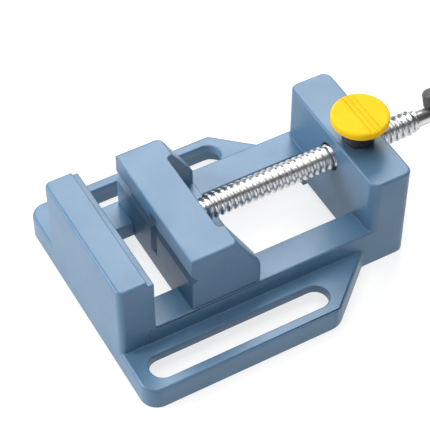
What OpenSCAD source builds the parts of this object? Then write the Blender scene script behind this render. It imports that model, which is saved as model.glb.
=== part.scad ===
// Drill press vise: cast base with a fixed jaw, two rails and a screw block, a sliding jaw drawn by
// a lead screw, and a push button that lets the screw go for quick setting.
// Millimetres. X is across the jaws, Y along the screw from the fixed jaw to the handle, Z up.
// The origin is on the underside plane, on the centre line, midway along the base casting.

/* [Base casting] */
// Length of the base casting along the screw
base_len = 200; // [180:1:260]
// Width over the rails, the fixed jaw and the screw block
body_w = 100; // [90:1:140]
// How far each slotted flange stands out past the body
flange_reach = 33; // [30:0.5:60]
// Height of the flange rim, from the underside to the flange top
flange_h = 17.2; // [15:0.1:26]
// Thickness of the flange plate, which is open underneath
flange_plate = 6.5; // [4:0.1:7]
// Wall thickness of the rim and of the body walls
wall = 5; // [3.5:0.1:6]
// Radius of the front flange corners seen from above
flange_corner_r = 11; // [4:0.5:14]
// Radius of the outer rear flange corner where the diagonal edge begins
flange_bend_r = 14; // [4:0.5:20]
// Distance from the rear of the casting to the start of the diagonal edge
flange_back = 69; // [50:1:90]
// Length along the screw that the diagonal edge takes to reach the body
flange_diag = 37; // [25:1:45]
// Radius of the hollow blend between the diagonal edge and the body
flange_blend_r = 9; // [4:0.5:14]

/* [Slots] */
// Width of each bolt slot
slot_w = 17; // [11:0.1:19]
// End-to-end length of each bolt slot
slot_len = 121.5; // [80:0.5:125]
// Distance from the body side to the inner edge of a slot
slot_gap = 8.7; // [6:0.1:14]
// Distance from the front of the casting to the front end of a slot
slot_front = 9.5; // [8:0.5:20]
// Radius of the rounded rim round each slot
slot_rim_r = 1.2; // [0.5:0.1:1.6]

/* [Rails and fixed jaw] */
// Height of the rail tops above the underside
rail_h = 30.5; // [26:0.1:45]
// Width of the gap between the rails, which guides the moving jaw
rail_gap = 58; // [40:0.1:70]
// Height of the jaw tops above the screw axis
jaw_over = 20; // [17:0.1:40]
// Thickness of the fixed jaw, from its outer face to its clamping face
jaw_t = 23; // [20:0.5:32]
// How far each side of the fixed jaw stands in from the body side
jaw_inset = 0.4; // [0.2:0.1:2]
// Radius of the fixed jaw's upright front corners
jaw_corner_r = 4.5; // [3:0.5:8]
// Width of the step along the top of the clamping face
ledge_w = 4.2; // [2:0.1:6]
// Depth of the step along the top of the clamping face
ledge_d = 3; // [1.5:0.1:5]
// Radius of the soft outer edges of the castings
edge_r = 2.2; // [1:0.1:3]
// Depth of the lips that the keeper plate runs under
lip_h = 12.3; // [8:0.1:14]

/* [Screw block] */
// Height of the screw block's top above the screw axis
block_over = 18.5; // [15:0.1:40]
// Length of the screw block along the screw
block_len = 28.6; // [26:0.1:45]
// Height of the open arch below the front wall of the block
arch_h = 7; // [3:0.5:9]
// Radius of the block's upright corners
block_corner_r = 6; // [4:0.5:8]

/* [Moving jaw] */
// Jaw opening at rest
opening = 25; // [0:0.5:60]
// How far each side of the moving jaw stands in from the body side
mjaw_inset = 1; // [0.2:0.1:4]
// Length of the flat jaw top, from the clamping face to the edge of the rear pocket
mjaw_top = 26.5; // [24:0.5:40]
// Length of the cheek tops, from the clamping face to where the cheeks slope down
cheek_top = 30.7; // [27:0.1:44]
// Overall length of the moving jaw
mjaw_len = 47.3; // [43:0.1:70]
// Height of the cheeks' rear edge above the rail tops
cheek_rise = 14.5; // [10:0.5:20]
// Thickness of each cheek at its rear
cheek_t = 12; // [7:0.1:13]
// How much thicker each cheek is at its front, where it joins the jaw's rear wall
cheek_flare = 5.5; // [2:0.5:8]
// Radius of the cheeks' outer edges where they slope down
cheek_r = 5; // [2.5:0.5:6]
// Thickness of the jaw's front wall
front_wall = 8; // [6:0.5:10]
// Thickness of the jaw's rear wall, which carries the screw nose
rear_wall = 6; // [4:0.5:8]
// Thickness of the jaw top
top_wall = 7; // [4:0.5:10]
// Thickness of the shelf behind the rear wall
shelf_t = 4; // [3:0.5:6]
// Width of each guide rib between the rails
rib_w = 8; // [7:0.5:10]
// Depth of the upright and level grooves in the clamping face for round stock
vee_depth = 4; // [2:0.5:5]

/* [Keeper plate] */
// Thickness of the keeper plate
keeper_t = 3; // [2:0.5:4]
// How far the keeper plate reaches under each lip
keeper_reach = 6.5; // [4:0.5:8]
// Diameter of the keeper screws
keeper_screw_d = 5; // [4:0.5:5]

/* [Lead screw] */
// Height of the screw axis above the rail tops
screw_rise = 23; // [19:0.1:40]
// Outside diameter of the thread
screw_d = 16; // [13.2:0.1:19.2]
// Depth of the thread
thread_depth = 1.5; // [1:0.1:2]
// Pitch of the thread
pitch = 4.5; // [3:0.1:6]
// How far the thread stands out behind the screw block when the jaws are closed
thread_spare = 10.1; // [4:0.1:40]
// Length of the plain collar in front of the thread
collar_len = 4; // [3.5:0.5:14]
// Diameter of the nose that turns in the moving jaw
nose_d = 12; // [9:0.5:12]
// Diameter of the plain tail behind the thread
tail_d = 10.5; // [10:0.1:12]
// Length of the plain tail
tail_len = 21; // [18:0.5:30]
// Distance from the end of the tail to the cross hole
bar_inset = 6; // [5:0.5:8]

/* [Tommy bar] */
// Diameter of the sliding bar
bar_d = 6; // [5:0.1:6.4]
// Overall length of the bar with its end caps
bar_len = 66; // [50:0.5:66]
// Lean of the bar from upright at rest, its top to the left and its foot to the right
bar_lean = 20; // [-60:1:60]
// Diameter of the end caps
cap_d = 12.6; // [9:0.1:14]
// Height of the end caps
cap_h = 10; // [7:0.5:11]

/* [Release button] */
// How far the plunger's axis stands outside the thread
plunger_out = 2.9; // [2.6:0.1:5]
// How far the plunger stands in front of the middle of the block
plunger_fwd = 1; // [0:0.1:2]
// Diameter of the plunger
plunger_d = 16; // [13.3:0.1:19.2]
// How far the button can be pressed
press = 1.7; // [1.6:0.1:3]
// Diameter of the button's head
button_d = 36.2; // [28:0.2:44]
// Height from the block top to the underside of the button's head
button_lift = 17.2; // [14:0.2:20]
// Thickness of the button's head
head_t = 5.4; // [4:0.1:7]
// Radius of the head's top edge
head_r = 2; // [1:0.1:3]
// Wall of the button's collar round the top of the plunger
collar_wall = 2.3; // [1.5:0.1:4]
// Diameter of the stop pin
pin_d = 4; // [3:0.5:4]
// Wire diameter of the spring
wire_d = 1.5; // [1:0.1:2]

/* [Clearances] */
// Gap between sliding faces
slide_gap = 0.4; // [0.2:0.05:0.6]
// Radial clearance of turning and sliding round parts
run_gap = 0.06; // [0.03:0.01:0.1]
// Radial clearance of the screw thread in its passage and in the plunger saddle
thread_gap = 0.35; // [0.2:0.05:0.5]

/* [Hidden] */
$fn = 64;
eps = 0.01;
y_f = -base_len / 2;                     // front of the casting
y_r = base_len / 2;                      // rear of the casting
bx = body_w / 2;
fx = bx + flange_reach;
slot_x = bx + slot_gap + slot_w / 2;     // middle of a slot
screw_z = rail_h + screw_rise;
jaw_h = screw_z + jaw_over;
block_h = screw_z + block_over;
y_face = y_f + jaw_t;                    // clamping face of the fixed jaw
y_bf = y_r - block_len;                  // front of the screw block
y_m = y_face + opening;                  // clamping face of the moving jaw
gx = rail_gap / 2;                       // inner side of the rails
lip_t = wall - 0.5;
lip_z = rail_h - lip_h;                  // underside of the lips
y_bend = y_r - flange_back;              // corner where the diagonal edge begins
bend_a = atan2(fx - bx, flange_diag);    // angle of the diagonal edge from the screw direction
mz = rail_h + slide_gap;                 // underside of the moving jaw
mx = bx - mjaw_inset;
y_pocket = y_m + mjaw_top;               // rear face of the jaw's rear wall
y_end = y_m + mjaw_len;                  // rear of the cheeks
cheek_rear_h = rail_h + cheek_rise;
shelf_z = mz + shelf_t;
guide_x = gx - slide_gap;
washer_t = 1.5;                          // thickness of the thrust washer
washer_h = 1;                            // thickness of the lock washers
washer_gap = 0.05;
y_collar = y_pocket + washer_t + 2 * washer_gap;
y_thread = y_collar + collar_len;
y_tail = y_r + thread_spare + opening;   // the thread has to reach with the jaws closed
y_tip = y_tail + tail_len;
y_bar = y_tip - bar_inset;
nose_len = y_collar - y_pocket + rear_wall + 7;
ring_y = y_pocket - rear_wall - washer_gap; // front side of the rear wall, where the ring sits
ring_t = 1.2;
ring_groove = 1.2;
keeper_z = lip_z - slide_gap - keeper_t; // underside of the keeper plate
plunger_x = screw_d / 2 + plunger_out;
plunger_y = y_r - block_len / 2 - plunger_fwd;
bore_r = plunger_d / 2 + run_gap;
press_z = block_h + press + 0.3;         // underside of the button collar at rest
head_z = block_h + button_lift;          // underside of the button head
plug_t = 5;
plug_z = 8;
spring_z0 = plug_z + plug_t;
plunger_z0 = 27;
pin_x = plunger_x + plunger_d / 2 - pin_d / 2;
pin_z = 40;

// ---- shared shapes ----

// Rectangle with its own radius at each corner, in the order front left, front right,
// rear right, rear left.
module rrect(x0, y0, x1, y1, r) {
    difference() {
        translate([x0, y0]) square([x1 - x0, y1 - y0]);
        if (r[0] > 0) corner_cut(x0, y0, 1, 1, r[0]);
        if (r[1] > 0) corner_cut(x1, y0, -1, 1, r[1]);
        if (r[2] > 0) corner_cut(x1, y1, -1, -1, r[2]);
        if (r[3] > 0) corner_cut(x0, y1, 1, -1, r[3]);
    }
}

module corner_cut(x, y, sx, sy, r) {
    translate([x, y]) mirror([sx < 0 ? 1 : 0, 0]) mirror([0, sy < 0 ? 1 : 0])
        difference() {
            translate([-1, -1]) square([r + 1, r + 1]);
            translate([r, r]) circle(r);
        }
}

// Extrusions along X and along Y of a profile drawn as (y, z) and as (x, z).
module along_x(x0, x1) {
    translate([x0, 0, 0]) rotate([90, 0, 90]) linear_extrude(x1 - x0) children();
}
module along_y(y0, y1) {
    translate([0, y1, 0]) rotate([90, 0, 0]) linear_extrude(y1 - y0) children();
}
module cyl_y(r, y0, y1) {
    translate([0, y0, 0]) rotate([-90, 0, 0]) cylinder(r = r, h = y1 - y0);
}
module box(x0, x1, y0, y1, z0, z1) {
    translate([x0, y0, z0]) cube([x1 - x0, y1 - y0, z1 - z0]);
}

// Cutters that roll a top edge over: along X, along Y, and round an upright corner of radius r
// whose outer corner would stand at (x, y). sx and sy point into the solid.
module roll_2d(x, y, sx, q) {
    translate([x, y]) mirror([sx < 0 ? 1 : 0, 0])
        difference() {
            translate([-1, -q]) square([q + 1, q + 1]);
            translate([q, -q]) circle(1.015 * q);
        }
}
module roll_x(x0, x1, y, sy, z, q) { along_x(x0, x1) roll_2d(y, z, sy, q); }
module roll_y(y0, y1, x, sx, z, q) { along_y(y0, y1) roll_2d(x, z, sx, q); }
module roll_corner(x, y, sx, sy, r, z, q) {
    translate([x + sx * r, y + sy * r, z]) intersection() {
        rotate_extrude() roll_2d(r, 0, -1, q);
        translate([sx > 0 ? -r - 5 : 0, sy > 0 ? -r - 5 : 0, -q - 1]) cube([r + 5, r + 5, q + 3]);
    }
}

// ---- base casting ----

// Outline of one flange side seen from above, set in by i from the casting's edge.
module flange_side(i) {
    t = flange_bend_r * tan(bend_a / 2);
    x1 = fx - i;
    yb = y_bend - i * tan(bend_a / 2);
    r = flange_bend_r - i > 1 ? flange_bend_r - i : 1;
    tt = r * tan(bend_a / 2);
    run = x1 / tan(bend_a);
    cr = flange_corner_r - i > 1 ? flange_corner_r - i : 1;
    difference() {
        union() {
            difference() {
                polygon([[0, y_f + i], [x1, y_f + i], [x1, yb - tt],
                    [x1 - tt * sin(bend_a), yb + tt * cos(bend_a)], [0, yb + run]]);
                corner_cut(x1, y_f + i, -1, 1, cr);
            }
            translate([x1 - r, yb - tt]) circle(r);
        }
        translate([-1, y_bend + flange_diag + flange_blend_r]) square([x1, run]);
    }
}

module flange_outline(i = 0) {
    flange_side(i);
    mirror([1, 0]) flange_side(i);
}

// Hollow blend between the diagonal edge and the body side, below the rounded top edge.
module flange_blend() {
    yj = y_bend + flange_diag;
    r = flange_blend_r;
    t = r * tan(bend_a / 2);
    d = 0.2 * r;
    for (m = [0, 1]) mirror([m, 0, 0])
        difference() {
            linear_extrude(flange_h - edge_r - 0.4)
                polygon([[bx - 2, yj + t + d], [bx - 2, yj - t], [bx - 1, yj - t - d],
                    [bx + (t + d) * sin(bend_a) - 1, yj - (t + d) * cos(bend_a) - 1],
                    [bx + (t + d) * sin(bend_a), yj - (t + d) * cos(bend_a)],
                    [bx + 0.9 * r, yj + 0.3 * r], [bx, yj + t + d]]);
            translate([bx + r, yj + t, -1]) cylinder(r = 1.04 * r, h = flange_h + 2);
        }
}

module slot_2d(grow = 0) {
    r = slot_w / 2;
    for (s = [0, slot_len - slot_w])
        translate([slot_x, y_f + slot_front + r + s]) circle(r + grow);
    translate([slot_x - r - grow, y_f + slot_front + r]) square([slot_w + 2 * grow, slot_len - slot_w]);
}

// Rounded rim of one slot: the straight sides and the two round ends.
module slot_rim() {
    r = slot_w / 2;
    q = slot_rim_r;
    y0 = y_f + slot_front + r;
    translate([slot_x, y0, flange_h]) {
        for (m = [0, 1]) mirror([m, 0, 0])
            translate([0, slot_len - slot_w, 0]) rotate([90, 0, 0]) linear_extrude(slot_len - slot_w)
                rim_cut_2d(r, q);
        for (s = [0, slot_len - slot_w]) translate([0, s, 0])
            rotate_extrude() rim_cut_2d(r, q);
    }
}
module rim_cut_2d(r, q) {
    difference() {
        translate([r - 0.5, -q]) square([q + 0.5, q + 1]);
        translate([r + q, -q]) circle(q);
    }
}

module flanges() {
    q = edge_r;
    c = flange_corner_r;
    difference() {
        linear_extrude(flange_h) flange_outline(0);
        roll_x(-fx + c, fx - c, y_f, 1, flange_h, q);
        for (m = [0, 1]) mirror([m, 0, 0]) {
            roll_corner(fx, y_f, -1, 1, c, flange_h, q);
            roll_y(y_f + c, y_bend + 20, fx, -1, flange_h, q);
            translate([fx, y_bend, 0]) rotate([0, 0, bend_a]) roll_y(-20, 150, 0, -1, flange_h, q);
        }
    }
    flange_blend();
}

module fixed_jaw() {
    q = edge_r;
    c = jaw_corner_r;
    jx = bx - jaw_inset;
    difference() {
        intersection() {
            linear_extrude(jaw_h) rrect(-jx, y_f, jx, y_face, [c, c, 0, 0]);
            along_x(-bx - 1, bx + 1) difference() {
                rrect(y_f - 1, 0, y_face, jaw_h, [0, 0, 0.6, 0]);
                rrect(y_face - ledge_w, jaw_h - ledge_d, y_face + 5, jaw_h + 5, [0.8, 0, 0, 0]);
            }
        }
        roll_x(-jx + c, jx - c, y_f, 1, jaw_h, q);
        for (m = [0, 1]) mirror([m, 0, 0]) {
            roll_corner(jx, y_f, -1, 1, c, jaw_h, q);
            roll_y(y_f + c, y_face + 1, jx, -1, jaw_h, q);
        }
    }
}

module rails() {
    for (m = [0, 1]) mirror([m, 0, 0])
        along_y(y_face - wall, y_bf + wall) rrect(gx, 0, bx, rail_h, [0, 0, 1.4, 0.6]);
}

module screw_block() {
    q = edge_r - 0.4;
    c = block_corner_r;
    difference() {
        linear_extrude(block_h) rrect(-bx, y_bf, bx, y_r, [c, c, c, c]);
        roll_x(-bx + c, bx - c, y_bf, 1, block_h, q);
        roll_x(-bx + c, bx - c, y_r, -1, block_h, q);
        for (m = [0, 1]) mirror([m, 0, 0]) {
            roll_y(y_bf + c, y_r - c, bx, -1, block_h, q);
            roll_corner(bx, y_bf, -1, 1, c, block_h, q);
            roll_corner(bx, y_r, -1, -1, c, block_h, q);
        }
    }
    // the rails run into the block square
    for (m = [0, 1]) mirror([m, 0, 0])
        along_y(y_bf - 1, y_bf + 2 * c) rrect(gx, 0, bx, rail_h, [0, 0, 1.4, 0.6]);
}

module base_casting() {
    color("#6f8fb4") difference() {
        union() {
            flanges();
            fixed_jaw();
            rails();
            screw_block();
        }
        // hollow under the flanges and the body
        translate([0, 0, -1]) linear_extrude(flange_h - flange_plate + 1) difference() {
            flange_outline(wall);
            translate([-fx, y_bf + eps]) square([2 * fx, block_len + 60]);
        }
        // window between the rails, wider below the lips
        box(-gx, gx, y_face, y_bf, -1, rail_h + 1);
        for (m = [0, 1]) mirror([m, 0, 0]) {
            box(0, gx + lip_t + eps, y_face, y_bf, -1, lip_z);
            // channel inside each rail
            box(gx + lip_t, bx - wall, y_face, y_bf, -1, rail_h - wall);
            // slots
            translate([0, 0, -1]) linear_extrude(flange_h + 2) slot_2d();
            slot_rim();
            // side pocket of the fixed jaw
            box(bx / 3 + 2, bx - wall, y_f + wall, y_face - wall - 1, -1, jaw_h - 8);
        }
        // middle pocket of the fixed jaw
        box(-bx / 3 + 2, bx / 3 - 2, y_f + wall, y_face - wall - 1, -1, jaw_h - 8);
        // pockets of the screw block, clear of the screw passage and of the plunger bore
        box(-bx + wall, -screw_d / 2 - 8, y_bf + wall, y_r - wall, -1, block_h - 8);
        box(plunger_x + plunger_d / 2 + 6.5, bx - wall, y_bf + wall, y_r - wall, -1, block_h - 8);
        // arch under the front wall
        box(-gx + 2, gx - 2, y_bf - 1, y_bf + wall, -1, arch_h);
        // screw passage with a wider mouth at each end
        translate([0, 0, screw_z]) {
            cyl_y(screw_d / 2 + thread_gap, y_bf - 1, y_r + 1);
            cyl_y(screw_d / 2 + thread_gap + 0.9, y_bf - 1, y_bf + 2);
            cyl_y(screw_d / 2 + thread_gap + 0.9, y_r - 2, y_r + 1);
        }
        // plunger bore, and the seat of its plug
        translate([plunger_x, plunger_y, plug_z + plug_t - eps]) cylinder(r = bore_r, h = block_h);
        translate([plunger_x, plunger_y, -1]) cylinder(r = bore_r, h = plug_z + plug_t + 1);
        // stop pin hole, drilled from the rear
        translate([pin_x, 0, pin_z]) cyl_y(pin_d / 2, plunger_y - 11, y_r + 1);
    }
}

// ---- moving jaw ----

module vee_upright() {
    translate([0, y_m, mz - 1]) rotate([0, 0, 45])
        translate([-vee_depth * sqrt(2) / 2, -vee_depth * sqrt(2) / 2, 0])
            cube([vee_depth * sqrt(2), vee_depth * sqrt(2), jaw_h - mz - 6]);
}
module vee_level() {
    translate([-mx - 1, y_m, (jaw_h + mz) / 2 + 4]) rotate([45, 0, 0])
        translate([0, -vee_depth * sqrt(2) / 2, -vee_depth * sqrt(2) / 2])
            cube([2 * mx + 2, vee_depth * sqrt(2), vee_depth * sqrt(2)]);
}

module jaw_profile() {
    difference() {
        polygon([[y_m, mz], [y_m, jaw_h], [y_m + cheek_top, jaw_h], [y_end, cheek_rear_h],
            [y_end, mz]]);
        corner_cut(y_end, mz, -1, 1, 2.5);
        corner_cut(y_m, jaw_h, 1, -1, 1);
    }
}

// Half space below the slope of the cheeks, with its outer edges rolled over.
module cheek_round() {
    translate([0, y_m + cheek_top, jaw_h])
        rotate([-atan2(jaw_h - cheek_rear_h, mjaw_len - cheek_top), 0, 0])
            translate([0, 200, 0]) rotate([90, 0, 0]) linear_extrude(400)
                rrect(-mx, -300, mx, 0, [0, 0, cheek_r, cheek_r]);
}

// Plan of the rear pocket between the cheeks, which widens towards the rear.
module pocket_side() {
    r = 2.5;
    run = y_end - y_pocket;
    x0 = mx - cheek_t - cheek_flare;
    a = atan2(cheek_flare, run);
    cx = x0 - r * (1 - sin(a)) / cos(a);
    polygon([[-1, y_pocket], [cx, y_pocket],
        [cx + r * cos(a), y_pocket + r - r * sin(a)],
        [x0 + 2 * cheek_flare, y_pocket + 2 * run], [-1, y_pocket + 2 * run]]);
    translate([cx, y_pocket + r]) circle(r);
}

module moving_jaw() {
    q = edge_r;
    color("#6f8fb4") difference() {
        union() {
            difference() {
                intersection() {
                    along_x(-mx, mx) jaw_profile();
                    along_y(y_m - 1, y_end + 1) rrect(-mx, mz, mx, jaw_h, [0, 0, q, q]);
                    linear_extrude(jaw_h) rrect(-mx, y_m, mx, y_end, [1, 1, 3, 3]);
                    cheek_round();
                }
                // rear pocket between the cheeks
                for (m = [0, 1]) mirror([m, 0, 0])
                    translate([0, 0, shelf_z]) linear_extrude(jaw_h) pocket_side();
                // hollows between the front and rear walls
                box(guide_x, mx - wall - 1, y_m + front_wall, y_pocket - rear_wall, mz - 1, jaw_h - top_wall);
                box(-mx + wall + 1, -guide_x, y_m + front_wall, y_pocket - rear_wall, mz - 1, jaw_h - top_wall);
                box(-guide_x + rib_w, guide_x - rib_w, y_m + front_wall, y_pocket - rear_wall,
                    mz - 1, jaw_h - top_wall);
            }
            // guide ribs between the rails, tied by a front and a rear bridge
            for (m = [0, 1]) mirror([m, 0, 0])
                box(guide_x - rib_w, guide_x, y_m + 1, y_end - 1, lip_z - slide_gap, mz + 1);
            box(-guide_x, guide_x, y_m + 1, y_m + front_wall, lip_z - slide_gap, mz + 1);
            box(-guide_x, guide_x, y_end - 7, y_end - 1, lip_z - slide_gap, mz + 1);
        }
        vee_upright();
        vee_level();
        // bearing for the screw nose
        translate([0, 0, screw_z]) cyl_y(nose_d / 2 + run_gap, y_pocket - rear_wall - 1, y_pocket + 1);
        // tapped holes for the keeper screws
        for (p = keeper_points()) translate([p[0], p[1], lip_z - slide_gap - 1])
            cylinder(d = keeper_screw_d, h = 11);
    }
}

function keeper_points() = [
    [guide_x - rib_w / 2, y_m + 10], [-guide_x + rib_w / 2, y_m + 10],
    [guide_x - rib_w / 2, y_end - 10], [-guide_x + rib_w / 2, y_end - 10]];

module keeper_plate() {
    color("#b9bcc0") difference() {
        translate([0, 0, keeper_z]) linear_extrude(keeper_t)
            rrect(-gx - keeper_reach, y_m + 2, gx + keeper_reach, y_end - 2, [4, 4, 4, 4]);
        for (p = keeper_points()) translate([p[0], p[1], 0]) cylinder(d = keeper_screw_d, h = jaw_h);
        // lightening window
        linear_extrude(jaw_h) rrect(-12, y_m + 15, 12, y_end - 15, [3, 3, 3, 3]);
    }
}

module keeper_screws() {
    r = keeper_screw_d / 2;
    color("#9a9da1") for (p = keeper_points())
        translate([p[0], p[1], keeper_z - washer_h]) difference() {
            union() {
                cylinder(r = r, h = washer_h + keeper_t + 9);
                translate([0, 0, -2.6]) cylinder(r = 1.8 * r, h = 2.6);
            }
            translate([0, 0, -3]) cylinder(r = 0.9 * r, h = 1.9, $fn = 6);
        }
}

module keeper_washers() {
    r = keeper_screw_d / 2;
    color("#7d8084") for (p = keeper_points())
        translate([p[0], p[1], keeper_z - washer_h]) difference() {
            cylinder(r = 1.9 * r, h = washer_h);
            translate([0, 0, -1]) cylinder(r = r, h = washer_h + 2);
        }
}

// ---- lead screw ----

// Half section of the screw from its nose to its tail, as (radius, y).
function ridge(i) = let (y = y_thread + i * pitch, r = screw_d / 2, d = thread_depth)
    [[r - d, y], [r - d, y + 0.16 * pitch], [r - 0.25 * d, y + 0.36 * pitch], [r, y + 0.46 * pitch],
     [r, y + 0.64 * pitch], [r - 0.25 * d, y + 0.74 * pitch], [r - d, y + 0.94 * pitch]];

module lead_screw() {
    n = floor((y_tail - y_thread) / pitch);
    r = screw_d / 2;
    nr = nose_d / 2;
    g = ring_y;
    y0 = y_collar - nose_len;
    color("#c9ccd0") difference() {
        rotate([-90, 0, 0]) translate([0, -screw_z, 0]) rotate_extrude() polygon(concat(
            [[0, y0], [nr - 1, y0], [nr, y0 + 1],
             [nr, g - 2.6 - ring_t], [nr - ring_groove, g - 2.6 - ring_t],
             [nr - ring_groove, g - 2.5], [nr, g - 2.5],
             [nr, y_collar], [r - 0.6, y_collar], [r, y_collar + 0.6],
             [r, y_thread - 2.5], [r - thread_depth, y_thread - 1]],
            [for (i = [0:n - 1]) each ridge(i)],
            [[r - thread_depth, y_tail - 1], [tail_d / 2, y_tail],
             [tail_d / 2, y_tip - 1], [tail_d / 2 - 1, y_tip], [0, y_tip]]));
        at_bar() translate([0, 0, -20]) cylinder(r = bar_d / 2 + run_gap, h = 40);
    }
}

module ring_y(ri, ro, y0, t) {
    translate([0, y0, screw_z]) rotate([-90, 0, 0]) difference() {
        cylinder(r = ro, h = t);
        translate([0, 0, -1]) cylinder(r = ri, h = t + 2);
    }
}

module thrust_washer() {
    color("#a8abae") ring_y(nose_d / 2 + run_gap, screw_d / 2 + 1.5, y_pocket + washer_gap, washer_t);
}

module retaining_washer() {
    color("#a8abae") ring_y(nose_d / 2 + run_gap, nose_d / 2 + 3, ring_y - 2.4, 2.35);
}

// Open spring ring in the groove of the nose.
module retaining_ring() {
    ri = nose_d / 2 - ring_groove;
    color("#6d6f72") difference() {
        ring_y(ri + 0.02, nose_d / 2 + 2, ring_y - 2.5 - ring_t, ring_t - 0.04);
        box(-2.2, 2.2, ring_y - 6, ring_y + 2, screw_z - 2 * nose_d, screw_z);
    }
}

// ---- tommy bar ----

bar_top = tail_d / 2 + 0.2 + cap_h;      // upper end of the bar, from the screw axis
bar_bottom = bar_top - bar_len;
socket = 7;

// Puts what is drawn round the Z axis on the bar, with the screw axis at its zero.
module at_bar() { translate([0, y_bar, screw_z]) rotate([0, -bar_lean, 0]) children(); }

module tommy_bar() {
    color("#c9ccd0") at_bar() translate([0, 0, bar_bottom + cap_h - socket])
        cylinder(d = bar_d, h = bar_len - 2 * cap_h + 2 * socket);
}

// End cap with a rounded outer end, drawn outer end up.
module bar_cap() {
    r = cap_d / 2;
    q = 2.4;
    difference() {
        rotate_extrude() {
            difference() {
                translate([0, 0]) square([r, cap_h]);
                corner_cut(r, cap_h, -1, -1, q);
                corner_cut(r, 0, -1, 1, 0.6);
            }
        }
        translate([0, 0, -1]) cylinder(d = bar_d, h = socket + 1);
    }
}

module bar_cap_top() {
    color("#454545") at_bar() translate([0, 0, bar_top - cap_h]) bar_cap();
}
module bar_cap_bottom() {
    color("#454545") at_bar() translate([0, 0, bar_bottom + cap_h]) mirror([0, 0, 1]) bar_cap();
}

// ---- release button ----

module at_plunger() { translate([plunger_x, plunger_y, 0]) children(); }

module release_button() {
    r = button_d / 2;
    color("#fad535") difference() {
        at_plunger() rotate_extrude() difference() {
            translate([0, head_z]) square([r, head_t]);
            corner_cut(r, head_z, -1, 1, 1);
            corner_cut(r, head_z + head_t, -1, -1, head_r);
        }
        // socket for the collar's spigot
        at_plunger() translate([0, 0, head_z - 1]) cylinder(d = 12, h = 3.5);
        // shallow grip grooves across the top
        for (i = [-1:1]) at_plunger() translate([-r - 1, i * 3.35 - 0.1, head_z + head_t - 0.5])
            cube([button_d + 2, 1.2, 3]);
    }
}

module button_collar() {
    r = plunger_d / 2 + collar_wall;
    color("#1f2022") at_plunger() difference() {
        union() {
            rotate_extrude() difference() {
                translate([0, press_z]) square([r, head_z - press_z]);
                corner_cut(r, press_z, -1, 1, 1.6);
            }
            translate([0, 0, head_z - 1]) cylinder(d = 12, h = 3.4);
        }
        // socket for the top of the plunger, and the screw's hole and counterbore
        translate([0, 0, press_z - 1]) cylinder(d = plunger_d, h = plunger_top - press_z + 1);
        translate([0, 0, press_z]) cylinder(d = 4.2, h = 40);
        translate([0, 0, plunger_top + 3]) cylinder(d = 7.6, h = 40);
    }
}

plunger_top = press_z + 8;

module release_plunger() {
    color("#8d9094") difference() {
        at_plunger() translate([0, 0, plunger_z0]) cylinder(d = plunger_d, h = plunger_top - plunger_z0);
        // saddle that holds the screw, and the relief that frees it when pressed
        translate([0, 0, screw_z]) cyl_y(screw_d / 2 + thread_gap, y_bf, y_r);
        translate([0, 0, screw_z + press]) cyl_y(screw_d / 2 + thread_gap + thread_depth, y_bf, y_r);
        // flat slot for the stop pin
        box(pin_x - pin_d / 2 - 0.3, pin_x + 10, y_bf, y_r, pin_z - pin_d / 2 - 0.1,
            pin_z + pin_d / 2 + press + 0.3);
        // seat for the spring, and the tapped hole for the screw
        at_plunger() translate([0, 0, plunger_z0 - 1]) cylinder(d = plunger_d - 4, h = 4);
        at_plunger() translate([0, 0, plunger_top - 10]) cylinder(d = 4, h = 20);
    }
}

module plunger_screw() {
    color("#8d9094") at_plunger() translate([0, 0, plunger_top + 3]) difference() {
        union() {
            cylinder(d = 7.4, h = 2.2);
            translate([0, 0, -12]) cylinder(d = 4, h = 12);
        }
        translate([-0.5, -5, 1.2]) cube([1, 10, 2]);
    }
}

// Compression spring: a round wire swept along a helix.
module release_spring() {
    turns = 4.5;
    z0 = spring_z0 + wire_d / 2;
    z1 = plunger_z0 + 3 - wire_d / 2;
    rm = plunger_d / 2 - 2.3 - wire_d / 2;
    n = 72;
    k = 8;
    pts = [for (i = [0:n]) for (j = [0:k - 1])
        let (a = 360 * turns * i / n, b = 360 * j / k, q = rm + wire_d / 2 * cos(b))
            [q * cos(a), q * sin(a), z0 + (z1 - z0) * i / n + wire_d / 2 * sin(b)]];
    faces = concat(
        [[for (j = [0:k - 1]) j]],
        [[for (j = [0:k - 1]) n * k + k - 1 - j]],
        [for (i = [0:n - 1]) for (j = [0:k - 1]) let (b = i * k, q = (j + 1) % k)
            each [[b + j, b + k + j, b + q], [b + q, b + k + j, b + k + q]]]);
    color("#b0b3b6") at_plunger() polyhedron(pts, faces, convexity = 6);
}

module spring_plug() {
    color("#8d9094") at_plunger() translate([0, 0, plug_z]) difference() {
        cylinder(r = bore_r, h = plug_t);
        translate([0, 0, -1]) cylinder(d = 8, h = 3.5, $fn = 6);
    }
}

module stop_pin() {
    color("#b0b3b6") translate([pin_x, 0, pin_z]) cyl_y(pin_d / 2, plunger_y - 11, y_r - 0.5);
}

base_casting();
moving_jaw();
keeper_plate();
keeper_screws();
keeper_washers();
lead_screw();
thrust_washer();
retaining_washer();
retaining_ring();
tommy_bar();
bar_cap_top();
bar_cap_bottom();
release_button();
button_collar();
release_plunger();
plunger_screw();
release_spring();
spring_plug();
stop_pin();
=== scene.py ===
import math

import bmesh
import bpy
from mathutils import Matrix, Vector


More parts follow.
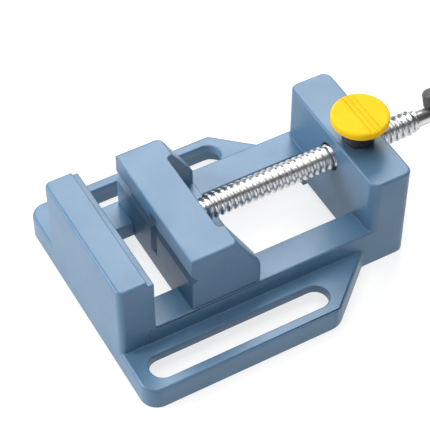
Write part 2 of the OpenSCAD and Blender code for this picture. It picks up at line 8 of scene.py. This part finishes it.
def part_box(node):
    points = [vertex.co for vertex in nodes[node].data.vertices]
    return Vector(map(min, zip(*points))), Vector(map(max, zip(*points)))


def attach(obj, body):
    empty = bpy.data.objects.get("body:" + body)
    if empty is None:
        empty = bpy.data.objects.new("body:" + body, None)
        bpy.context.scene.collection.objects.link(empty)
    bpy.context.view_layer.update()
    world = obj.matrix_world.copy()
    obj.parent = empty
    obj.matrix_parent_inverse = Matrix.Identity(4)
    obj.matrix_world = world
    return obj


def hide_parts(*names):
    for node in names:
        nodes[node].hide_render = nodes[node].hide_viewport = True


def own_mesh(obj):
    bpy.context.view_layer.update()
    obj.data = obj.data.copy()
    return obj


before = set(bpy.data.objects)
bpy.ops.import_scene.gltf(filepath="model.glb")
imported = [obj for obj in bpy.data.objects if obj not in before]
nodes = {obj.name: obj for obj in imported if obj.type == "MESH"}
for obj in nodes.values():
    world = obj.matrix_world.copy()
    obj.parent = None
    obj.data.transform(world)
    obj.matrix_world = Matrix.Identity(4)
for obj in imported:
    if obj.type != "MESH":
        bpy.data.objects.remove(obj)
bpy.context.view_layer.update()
MM = 0.001

# ---- Camera ----
# A long lens from the right front corner, looking down on the vise at about half a right angle.
scene = bpy.context.scene
camera = bpy.data.objects.new("camera", bpy.data.cameras.new("camera"))
scene.collection.objects.link(camera)
camera.location = (0.59390, -0.34096, 0.82424)
camera.rotation_euler = (math.radians(90 - 48.942), 0, math.radians(60.815))
camera.data.lens = 141.79
camera.data.sensor_width = 36
camera.data.shift_x = -0.0014
camera.data.shift_y = -0.0004
camera.data.clip_start = 0.05
scene.camera = camera

# ---- Floor and lights ----
# A white light table, and a room that darkens towards its horizon. A bright panel above and behind
# the vise lays a sheen on the level faces. Weaker panels light it from overhead, front and right.
scene.view_settings.view_transform = "Standard"
floor_mesh = bpy.data.meshes.new("studio_floor")
reach = 40.0
corners = [(-reach, -reach, 0), (reach, -reach, 0), (reach, reach, 0), (-reach, reach, 0)]
floor_mesh.from_pydata(corners, [], [(0, 1, 2, 3)])
studio_floor = bpy.data.objects.new("studio_floor", floor_mesh)
scene.collection.objects.link(studio_floor)
pale = bpy.data.materials.new("studio_white")
pale.use_nodes = True
table_top = pale.node_tree.nodes["Principled BSDF"]
table_top.inputs["Base Color"].default_value = (0.26, 0.26, 0.26, 1)
table_top.inputs["Roughness"].default_value = 0.9
table_top.inputs["Specular IOR Level"].default_value = 0.1
table_top.inputs["Emission Color"].default_value = (1, 1, 1, 1)
table_top.inputs["Emission Strength"].default_value = 0.76
studio_floor.data.materials.append(pale)

room = bpy.data.worlds.new("studio")
room.use_nodes = True
sky = room.node_tree.nodes
way = sky.new("ShaderNodeTexCoord")
height = sky.new("ShaderNodeSeparateXYZ")
glow = sky.new("ShaderNodeMapRange")
glow.inputs["From Min"].default_value = 0.05
glow.inputs["From Max"].default_value = 0.9
glow.inputs["To Min"].default_value = 0.10
glow.inputs["To Max"].default_value = 0.95
room.node_tree.links.new(way.outputs["Generated"], height.inputs[0])
room.node_tree.links.new(height.outputs["Z"], glow.inputs["Value"])
room.node_tree.links.new(glow.outputs["Result"], sky["Background"].inputs["Strength"])
scene.world = room


def panel(name, aim, distance, width, height, watts):
    """A soft rectangular light that faces the vise from the direction aim."""
    lamp = bpy.data.lights.new(name, "AREA")
    lamp.shape = "RECTANGLE"
    lamp.size, lamp.size_y, lamp.energy = width, height, watts
    placed = bpy.data.objects.new(name, lamp)
    placed.location = Vector(aim).normalized() * distance
    placed.rotation_euler = Vector(aim).to_track_quat("Z", "Y").to_euler()
    scene.collection.objects.link(placed)


panel("ceiling_panel", (-0.57, 0.33, 0.75), 4.0, 1.9, 1.9, 125)
panel("overhead_panel", (0.0, -0.1, 1.0), 2.0, 1.5, 1.5, 36)
panel("key_panel", (-0.35, -0.85, 0.35), 1.3, 0.6, 0.6, 17)
panel("fill_panel", (0.95, 0.1, 0.3), 1.5, 0.7, 0.7, 4)


# ---- Base casting and moving jaw ----
# Two aluminium die castings with soft edges, trimmed and sprayed with satin blue-grey enamel. The
# enamel lies over the faint waviness of the casting. Its colour is lighter along the edges, partly
# worn thin enamel and partly a painted highlight.
class Wire:
    """A socket on its way through a node tree. Sums on it add Math nodes."""

    def __init__(self, tree, socket=None):
        self.tree, self.socket = tree, socket

    def node(self, kind, settings=None, values=None, out=0):
        made = self.tree.nodes.new(kind)
        for key, value in (settings or {}).items():
            if key == "stops":
                while len(made.color_ramp.elements) < len(value):
                    made.color_ramp.elements.new(0.5)
                for stop, (at, tone) in zip(made.color_ramp.elements, value):
                    stop.position, stop.color = at, tone
            else:
                setattr(made, key, value)
        for key, value in (values or {}).items():
            if isinstance(value, Wire):
                self.tree.links.new(value.socket, made.inputs[key])
            elif value is not None:
                made.inputs[key].default_value = value
        return Wire(self.tree, made.outputs[out])

    def math(self, operation, *terms):
        return self.node("ShaderNodeMath", {"operation": operation}, dict(enumerate(terms)))

    def __add__(self, other):
        return self.math("ADD", self, other)

    def __radd__(self, other):
        return self.math("ADD", other, self)

    def __sub__(self, other):
        return self.math("SUBTRACT", self, other)

    def __rsub__(self, other):
        return self.math("SUBTRACT", other, self)

    def __mul__(self, other):
        return self.math("MULTIPLY", self, other)

    def __rmul__(self, other):
        return self.math("MULTIPLY", other, self)

    def __truediv__(self, other):
        return self.math("DIVIDE", self, other)

    def __rtruediv__(self, other):
        return self.math("DIVIDE", other, self)

    def ease(self, low, high):
        """0 below low, 1 above high and a smooth rise between, or a fall where low is above high."""
        fall = low > high
        low, high = min(low, high), max(low, high)
        first, last = (1.0, 0.0) if fall else (0.0, 1.0)
        return self.node(
            "ShaderNodeMapRange", {"interpolation_type": "SMOOTHSTEP"},
            {0: self, 1: low, 2: high, 3: first, 4: last},
        )

    def blend(self, first, second):
        """A colour between two, with this value as the share of the second."""
        return self.node("ShaderNodeMix", {"data_type": "RGBA"}, {0: self, 6: first, 7: second}, out=2)

    def stretch(self, scale):
        return self.node("ShaderNodeVectorMath", {"operation": "MULTIPLY"}, {0: self, 1: scale})

    def noise(self, scale, detail, rough):
        return self.node(
            "ShaderNodeTexNoise", None,
            {"Vector": self, "Scale": scale, "Detail": detail, "Roughness": rough},
        )

    def bump(self, strength, depth, normal=None):
        """A normal that this value as a height bends, over a given normal or the plain one."""
        return self.node(
            "ShaderNodeBump", None,
            {"Strength": strength, "Distance": depth, "Height": self, "Normal": normal},
        )


def finish(name, **constants):
    """A new material: its place wire on Object coordinates and a function that plugs the shader."""
    material = bpy.data.materials.new(name)
    material.use_nodes = True
    tree = material.node_tree
    shader = tree.nodes["Principled BSDF"]
    for key, value in constants.items():
        shader.inputs[key.replace("_", " ")].default_value = value
    place = Wire(tree).node("ShaderNodeTexCoord", out="Object")

    def plug(**wires):
        for key, wire in wires.items():
            tree.links.new(wire.socket, shader.inputs[key.replace("_", " ")])

    return material, place, plug


cast_edge_r = 0.7 * MM
enamel, place, plug = finish("blue_enamel", Coat_Roughness=0.25, Coat_IOR=1.5, Specular_IOR_Level=0.32)
rounded = place.node("ShaderNodeBevel", {"samples": 6}, {"Radius": cast_edge_r})
flat = place.node("ShaderNodeNewGeometry", out="Normal")
turn = place.node("ShaderNodeVectorMath", {"operation": "DOT_PRODUCT"}, {0: rounded, 1: flat}, out="Value")
edge = turn.ease(0.995, 0.86)
patch = place.noise(38, 3, 0.55)
cloud = place.noise(160, 3, 0.6)
peel = place.noise(1150, 2, 0.5)
wave = place.noise(230, 2, 0.5)
grain = place.noise(4200, 1, 0.5)
mottle = (patch * 0.7 + cloud * 0.3).ease(0.3, 0.7)
blue = mottle.blend((0.064, 0.143, 0.240, 1), (0.075, 0.161, 0.263, 1))
# Edges painted lighter: partly worn thin enamel, partly a painted rim highlight.
worn_and_rim_highlight = edge * (0.3 + cloud * 0.7)
blue = worn_and_rim_highlight.blend(blue, (0.19, 0.28, 0.38, 1))
speck = place.node(
    "ShaderNodeTexVoronoi", {"feature": "F1"}, {"Vector": place, "Scale": 210.0}, out="Distance")
nib = speck.ease(0.055, 0.02) * patch.ease(0.45, 0.6)
blue = (nib * 0.35).blend(blue, (0.02, 0.05, 0.1, 1))
height = peel * 0.55 + wave * 1.6 + grain * 0.12 + nib * 0.5
plug(
    Base_Color=blue,
    Roughness=0.38 + cloud * 0.14 + edge * 0.05,
    Coat_Weight=0.12 + patch * 0.2,
    Normal=height.bump(1.0, 0.035 * MM, rounded),
)


def carry(node, material):
    """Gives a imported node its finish."""
    nodes[node].data.materials.clear()
    nodes[node].data.materials.append(material)


def soften(node, name, material, body, round_r, crisp=(0, 0), sharp=38):
    """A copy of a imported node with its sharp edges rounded, as a piece that stands for it.

    Edges that lie wholly between the two y values in crisp stay as they were machined.
    """
    shape = bmesh.new()
    shape.from_mesh(nodes[node].data)
    bmesh.ops.remove_doubles(shape, verts=shape.verts, dist=0.03 * MM)
    bmesh.ops.dissolve_degenerate(shape, edges=shape.edges, dist=0.01 * MM)
    bmesh.ops.dissolve_limit(
        shape, angle_limit=math.radians(0.4), verts=shape.verts, edges=shape.edges, delimit={"NORMAL"})
    bmesh.ops.recalc_face_normals(shape, faces=shape.faces)
    share = shape.edges.layers.float.new("bevel_weight_edge")
    for edge in shape.edges:
        if edge.is_manifold and edge.calc_face_angle() > math.radians(sharp):
            machined = all(crisp[0] < corner.co.y < crisp[1] for corner in edge.verts)
            edge[share] = 0 if machined else 1
            edge.smooth = not machined
    blank = bpy.data.objects.new(name, bpy.data.meshes.new(name))
    shape.to_mesh(blank.data)
    shape.free()
    scene.collection.objects.link(blank)
    for face in blank.data.polygons:
        face.use_smooth = True
    roll = blank.modifiers.new("edge_roll", "BEVEL")
    roll.width, roll.segments, roll.limit_method = round_r, 3, "WEIGHT"
    roll.use_clamp_overlap = False
    even = blank.modifiers.new("even_shading", "WEIGHTED_NORMAL")
    even.mode, even.weight, even.keep_sharp = "FACE_AREA", 100, True
    rolled = bpy.data.meshes.new_from_object(blank.evaluated_get(bpy.context.evaluated_depsgraph_get()))
    bpy.data.objects.remove(blank)
    rolled.name = name
    rolled.materials.append(material)
    piece = bpy.data.objects.new(name, rolled)
    scene.collection.objects.link(piece)
    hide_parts(node)
    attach(piece, body)


soften("base_casting", "vise_base", enamel, "base", cast_edge_r)
jaw_face_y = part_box("moving_jaw")[0][1]
milled = (jaw_face_y - 1 * MM, jaw_face_y + 6 * MM)
soften("moving_jaw", "sliding_jaw", enamel, "jaw", cast_edge_r, milled)

# ---- Lead screw ----
# A 16 mm steel screw with a coarse rolled right-hand thread, bright plated. A short plain collar
# bears on the jaw, the nose turns in it, and the tail is drilled for the sliding bar.
plated, place, plug = finish("bright_plate", Metallic=1.0)
lathe_lines = place.stretch((60, 3200, 60)).noise(1.0, 3, 0.6)
stain = place.noise(140, 3, 0.6)
fleck = place.noise(900, 2, 0.6)
tone = stain.ease(0.35, 0.7).blend((0.70, 0.70, 0.705, 1), (0.60, 0.605, 0.615, 1))
relief = (lathe_lines + fleck * 0.4).bump(0.6, 0.006 * MM)
plug(Base_Color=tone, Roughness=0.24 + lathe_lines * 0.08 + stain * 0.08, Normal=relief)

screw_axis_z = 53.5 * MM
screw_r = 8 * MM
thread_root_r = 6.5 * MM
thread_from, thread_to = -19.9 * MM, 135.1 * MM
thread_pitch = 4.5 * MM
thread_turns = 35
steps_per_turn = 16
fade_from, fade_to = 0.2 * MM, 5 * MM
around = 96
same_spot = 0.002 * MM


def tree_of(name, sizes):
    """A geometry tree with named inputs: its input wires by name and a function that ends it."""
    tree = bpy.data.node_groups.new(name, "GeometryNodeTree")
    tree.interface.new_socket("Geometry", in_out="OUTPUT", socket_type="NodeSocketGeometry")
    for size, (kind, value) in sizes.items():
        tree.interface.new_socket(size, in_out="INPUT", socket_type=kind)
    given = tree.nodes.new("NodeGroupInput")
    ports = {size: Wire(tree, given.outputs[size]) for size in sizes}

    def close(shape, material):
        solid = shape.node("GeometryNodeRealizeInstances", None, {0: shape})
        solid = solid.node("GeometryNodeSetMaterial", None, {"Geometry": solid, "Material": material})
        tree.links.new(solid.socket, tree.nodes.new("NodeGroupOutput").inputs[0])
        maker = bpy.data.objects.new(name, bpy.data.meshes.new(name))
        scene.collection.objects.link(maker)
        step = maker.modifiers.new(name, "NODES")
        step.node_group = tree
        for item in tree.interface.items_tree:
            if item.in_out == "INPUT":
                step[item.identifier] = sizes[item.name][1]
        ready = maker.evaluated_get(bpy.context.evaluated_depsgraph_get())
        mesh = bpy.data.meshes.new_from_object(ready)
        bpy.data.objects.remove(maker)
        return mesh

    return Wire(tree), ports, close


start, size, close = tree_of("thread", {
    "Crest radius": ("NodeSocketFloat", screw_r),
    "Root radius": ("NodeSocketFloat", thread_root_r),
    "Pitch": ("NodeSocketFloat", thread_pitch),
    "Length": ("NodeSocketFloat", thread_to - thread_from),
    "Around": ("NodeSocketInt", around + 1),
    "Along": ("NodeSocketInt", thread_turns * steps_per_turn + 1),
})
sheet = start.node("GeometryNodeMeshGrid", None, {
    "Size X": 1.0, "Size Y": 1.0, "Vertices X": size["Around"], "Vertices Y": size["Along"],
})
spot = start.node("GeometryNodeInputPosition")
across = start.node("ShaderNodeSeparateXYZ", None, {0: spot}, out="X") + 0.5
along = start.node("ShaderNodeSeparateXYZ", None, {0: spot}, out="Y") + 0.5
reach = along * size["Length"]
phase = start.math("FRACT", reach / size["Pitch"] - across + 8)
rise = phase.ease(0.10, 0.40) * phase.ease(0.98, 0.68)
fade = reach.ease(fade_from, fade_to) * (size["Length"] - reach).ease(fade_from, fade_to)
radius = size["Root radius"] + (size["Crest radius"] - size["Root radius"]) * rise * fade
angle = across * (2 * math.pi)
round_x = radius * start.math("SINE", angle)
round_z = radius * start.math("COSINE", angle)
coil = start.node(
    "ShaderNodeCombineXYZ", None,
    {0: round_x, 1: reach + thread_from, 2: round_z + screw_axis_z},
)
sheet = start.node("GeometryNodeSetPosition", None, {"Geometry": sheet, "Position": coil})
thread_mesh = close(sheet, plated)


def lathe(shape, profile):
    """Adds the surface that a (radius, y) profile sweeps about the screw's axis."""
    rings = []
    for r, y in profile:
        if r == 0:
            rings.append([shape.verts.new((0, y, screw_axis_z))] * around)
        else:
            rings.append([
                shape.verts.new((r * math.sin(a), y, screw_axis_z + r * math.cos(a)))
                for a in (2 * math.pi * k / around for k in range(around))
            ])
    for near, far in zip(rings, rings[1:]):
        for k in range(around):
            corners = [near[k], near[(k + 1) % around], far[(k + 1) % around], far[k]]
            corners = [c for i, c in enumerate(corners) if c not in corners[:i]]
            if len(corners) > 2:
                shape.faces.new(corners)


def settle(shape, name, material, body, node):
    """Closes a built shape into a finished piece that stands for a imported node."""
    bmesh.ops.remove_doubles(shape, verts=shape.verts, dist=same_spot)
    bmesh.ops.recalc_face_normals(shape, faces=shape.faces)
    mesh = bpy.data.meshes.new(name)
    shape.to_mesh(mesh)
    shape.free()
    mesh.materials.append(material)
    piece = bpy.data.objects.new(name, mesh)
    scene.collection.objects.link(piece)
    for face in mesh.polygons:
        face.use_smooth = True
        face.material_index = 0
    mesh.set_sharp_from_angle(angle=math.radians(40))
    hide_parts(node)
    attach(piece, body)
    return piece


# Outlines in mm as (radius, y): nose, ring groove and collar in front, tail behind.
nose_r, ring_groove_r, collar_r, tail_r = 6, 4.8, 8, 5.25
front = [
    (0, -38.5), (4.6, -38.5), (5.1, -38.36), (5.6, -38.0), (nose_r, -37.5), (nose_r, -35.35),
    (ring_groove_r, -35.3), (ring_groove_r, -34.1), (nose_r, -34.05), (nose_r, -23.95),
    (7.4, -23.9), (7.75, -23.75), (collar_r, -23.3), (collar_r, -22.4), (7.9, -21.9), (7.3, -21.2),
    (6.6, -20.3),
]
back = [
    (5.35, 135.8), (tail_r, 136.1), (tail_r, 155.0), (5.0, 155.6), (4.5, 155.95), (3.9, 156.1),
    (0, 156.1),
]
screw = bmesh.new()
screw.from_mesh(thread_mesh)
lathe(screw, [(r * MM, y * MM) for r, y in front] + [(thread_root_r, thread_from)])
lathe(screw, [(thread_root_r, thread_to)] + [(r * MM, y * MM) for r, y in back])
bmesh.ops.remove_doubles(screw, verts=screw.verts, dist=same_spot)
bmesh.ops.recalc_face_normals(screw, faces=screw.faces)

bar_y = 150.1 * MM
bar_lean = math.radians(20)
bar_hole_r = 3.06 * MM
drill_len = 40 * MM
drill = bpy.data.objects.new("drill", bpy.data.meshes.new("drill"))
hole = bmesh.new()
bmesh.ops.create_cone(
    hole, cap_ends=True, segments=64, radius1=bar_hole_r, radius2=bar_hole_r, depth=drill_len)
bmesh.ops.rotate(hole, verts=hole.verts, matrix=Matrix.Rotation(-bar_lean, 3, "Y"))
bmesh.ops.translate(hole, verts=hole.verts, vec=(0, bar_y, screw_axis_z))
hole.to_mesh(drill.data)
hole.free()
scene.collection.objects.link(drill)
blank = bpy.data.objects.new("blank", bpy.data.meshes.new("blank"))
screw.to_mesh(blank.data)
screw.free()
scene.collection.objects.link(blank)
cut = blank.modifiers.new("cross_hole", "BOOLEAN")
cut.object, cut.operation, cut.solver = drill, "DIFFERENCE", "EXACT"
bored = bpy.data.meshes.new_from_object(blank.evaluated_get(bpy.context.evaluated_depsgraph_get()))
bpy.data.objects.remove(blank)
bpy.data.objects.remove(drill)
screw = bmesh.new()
screw.from_mesh(bored)
settle(screw, "threaded_screw", plated, "screw", "lead_screw")

# ---- Sliding bar ----
# A 6 mm bright steel bar that slides through the screw's tail, with a dark grey moulded cap
# pressed on each end.
carry("tommy_bar", plated)
moulding, place, plug = finish("grey_moulding", Specular_IOR_Level=0.5)
skin = place.noise(2600, 2, 0.6)
patch = place.noise(260, 3, 0.5)
tone = patch.ease(0.3, 0.7).blend((0.052, 0.052, 0.054, 1), (0.068, 0.068, 0.070, 1))
plug(Base_Color=tone, Roughness=0.42 + skin * 0.16, Normal=(skin + patch * 0.5).bump(0.7, 0.03 * MM))
carry("bar_cap_top", moulding)
carry("bar_cap_bottom", moulding)

# ---- Washers, keeper and small hardware ----
# The keeper strip with its four screws and lock washers, the screw's two washers, and the release's
# tie screw, plug and stop pin. All are plain steel with a dull zinc plate, stained by old oil.
zinc, place, plug = finish("zinc_plate", Metallic=1.0)
spangle = place.node(
    "ShaderNodeTexVoronoi", {"feature": "F1"}, {"Vector": place, "Scale": 620.0}, out="Color")
facet = place.node("ShaderNodeSeparateColor", None, {0: spangle}, out="Red")
stain = place.noise(170, 4, 0.6)
rolled = place.stretch((90, 1800, 900)).noise(1.0, 3, 0.6)
mottle = (facet * 0.4 + stain * 0.6).ease(0.25, 0.75)
tone = mottle.blend((0.50, 0.51, 0.52, 1), (0.66, 0.67, 0.69, 1))
tone = (stain.ease(0.58, 0.72) * 0.5).blend(tone, (0.40, 0.37, 0.30, 1))
relief = (rolled + facet * 0.3).bump(0.6, 0.02 * MM)
plug(Base_Color=tone, Roughness=0.30 + stain * 0.2 + facet * 0.06, Normal=relief)
for name in (
    "keeper_plate", "keeper_screws", "keeper_washers", "thrust_washer", "retaining_washer",
    "plunger_screw", "spring_plug", "stop_pin",
):
    carry(name, zinc)

# ---- Release plunger ----
# A turned steel plunger with a saddle cut in its side. It is ground bright where it slides.
ground, place, plug = finish("ground_steel", Metallic=1.0)
rings = place.stretch((50, 50, 6000)).noise(1.0, 3, 0.6)
oil = place.noise(120, 3, 0.6)
tone = oil.ease(0.3, 0.75).blend((0.62, 0.62, 0.63, 1), (0.50, 0.49, 0.47, 1))
plug(Base_Color=tone, Roughness=0.2 + rings * 0.1 + oil * 0.12, Normal=rings.bump(0.7, 0.02 * MM))
carry("release_plunger", ground)

# ---- Release spring and retaining ring ----
# Oil-hardened spring wire: a compression spring under the plunger and an open ring on the nose.
wire, place, plug = finish("spring_wire", Metallic=1.0)
scale = place.noise(700, 4, 0.65)
drawn = place.noise(3000, 2, 0.5)
tone = scale.ease(0.35, 0.7).blend((0.20, 0.20, 0.21, 1), (0.33, 0.33, 0.34, 1))
plug(Base_Color=tone, Roughness=0.32 + scale * 0.2, Normal=drawn.bump(0.6, 0.02 * MM))
carry("retaining_ring", wire)
spring_low, spring_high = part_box("release_spring")
spring_x = (spring_low[0] + spring_high[0]) / 2
spring_y = (spring_low[1] + spring_high[1]) / 2
spring_length = spring_high[2] - spring_low[2]
wire_r = 0.75 * MM
coil_r = (spring_high[0] - spring_low[0]) / 2 - wire_r
start, size, close = tree_of("spring", {
    "Turns": ("NodeSocketFloat", 4.5),
    "Coil radius": ("NodeSocketFloat", coil_r),
    "Wire radius": ("NodeSocketFloat", wire_r),
    "Height": ("NodeSocketFloat", spring_length - 2 * wire_r),
})
coil = start.node("GeometryNodeCurveSpiral", None, {
    "Resolution": 48, "Rotations": size["Turns"], "Start Radius": size["Coil radius"],
    "End Radius": size["Coil radius"], "Height": size["Height"],
})
section = start.node(
    "GeometryNodeCurvePrimitiveCircle", None, {"Resolution": 20, "Radius": size["Wire radius"]})
coil = start.node(
    "GeometryNodeCurveToMesh", None, {"Curve": coil, "Profile Curve": section, "Fill Caps": True})
spring_mesh = close(coil, wire)
spring = bmesh.new()
spring.from_mesh(spring_mesh)
bmesh.ops.translate(spring, verts=spring.verts, vec=(spring_x, spring_y, spring_low[2] + wire_r))
spring = settle(spring, "coil_spring", wire, "base", "release_spring")
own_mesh(spring)

# ---- Release button ----
# A yellow nylon cap pressed on a black collar. Three shallow grooves cross its flat top for the
# thumb, and its rim is rounded.
nylon, place, plug = finish("yellow_nylon", Specular_IOR_Level=0.1)
flow = place.noise(90, 3, 0.5)
skin = place.noise(1800, 2, 0.6)
tone = flow.ease(0.3, 0.7).blend((0.70, 0.430, 0.004, 1), (0.74, 0.460, 0.006, 1))
plug(Base_Color=tone, Roughness=0.5 + skin * 0.1, Normal=(skin + flow).bump(0.6, 0.02 * MM))
cap_edge_r = 0.28 * MM
soften("release_button", "yellow_button", nylon, "button", cap_edge_r, sharp=50)

# ---- Button collar ----
# A black acetal moulding under the button. It is pressed into the button and screwed to the
# plunger, which ties the two together.
acetal, place, plug = finish("black_acetal", Specular_IOR_Level=0.5)
skin = place.noise(2200, 2, 0.6)
scuff = place.noise(320, 4, 0.6)
tone = scuff.ease(0.45, 0.75).blend((0.012, 0.011, 0.010, 1), (0.026, 0.024, 0.023, 1))
relief = (skin + scuff * 0.4).bump(0.6, 0.02 * MM)
plug(Base_Color=tone, Roughness=0.30 + scuff * 0.2, Normal=relief)
carry("button_collar", acetal)
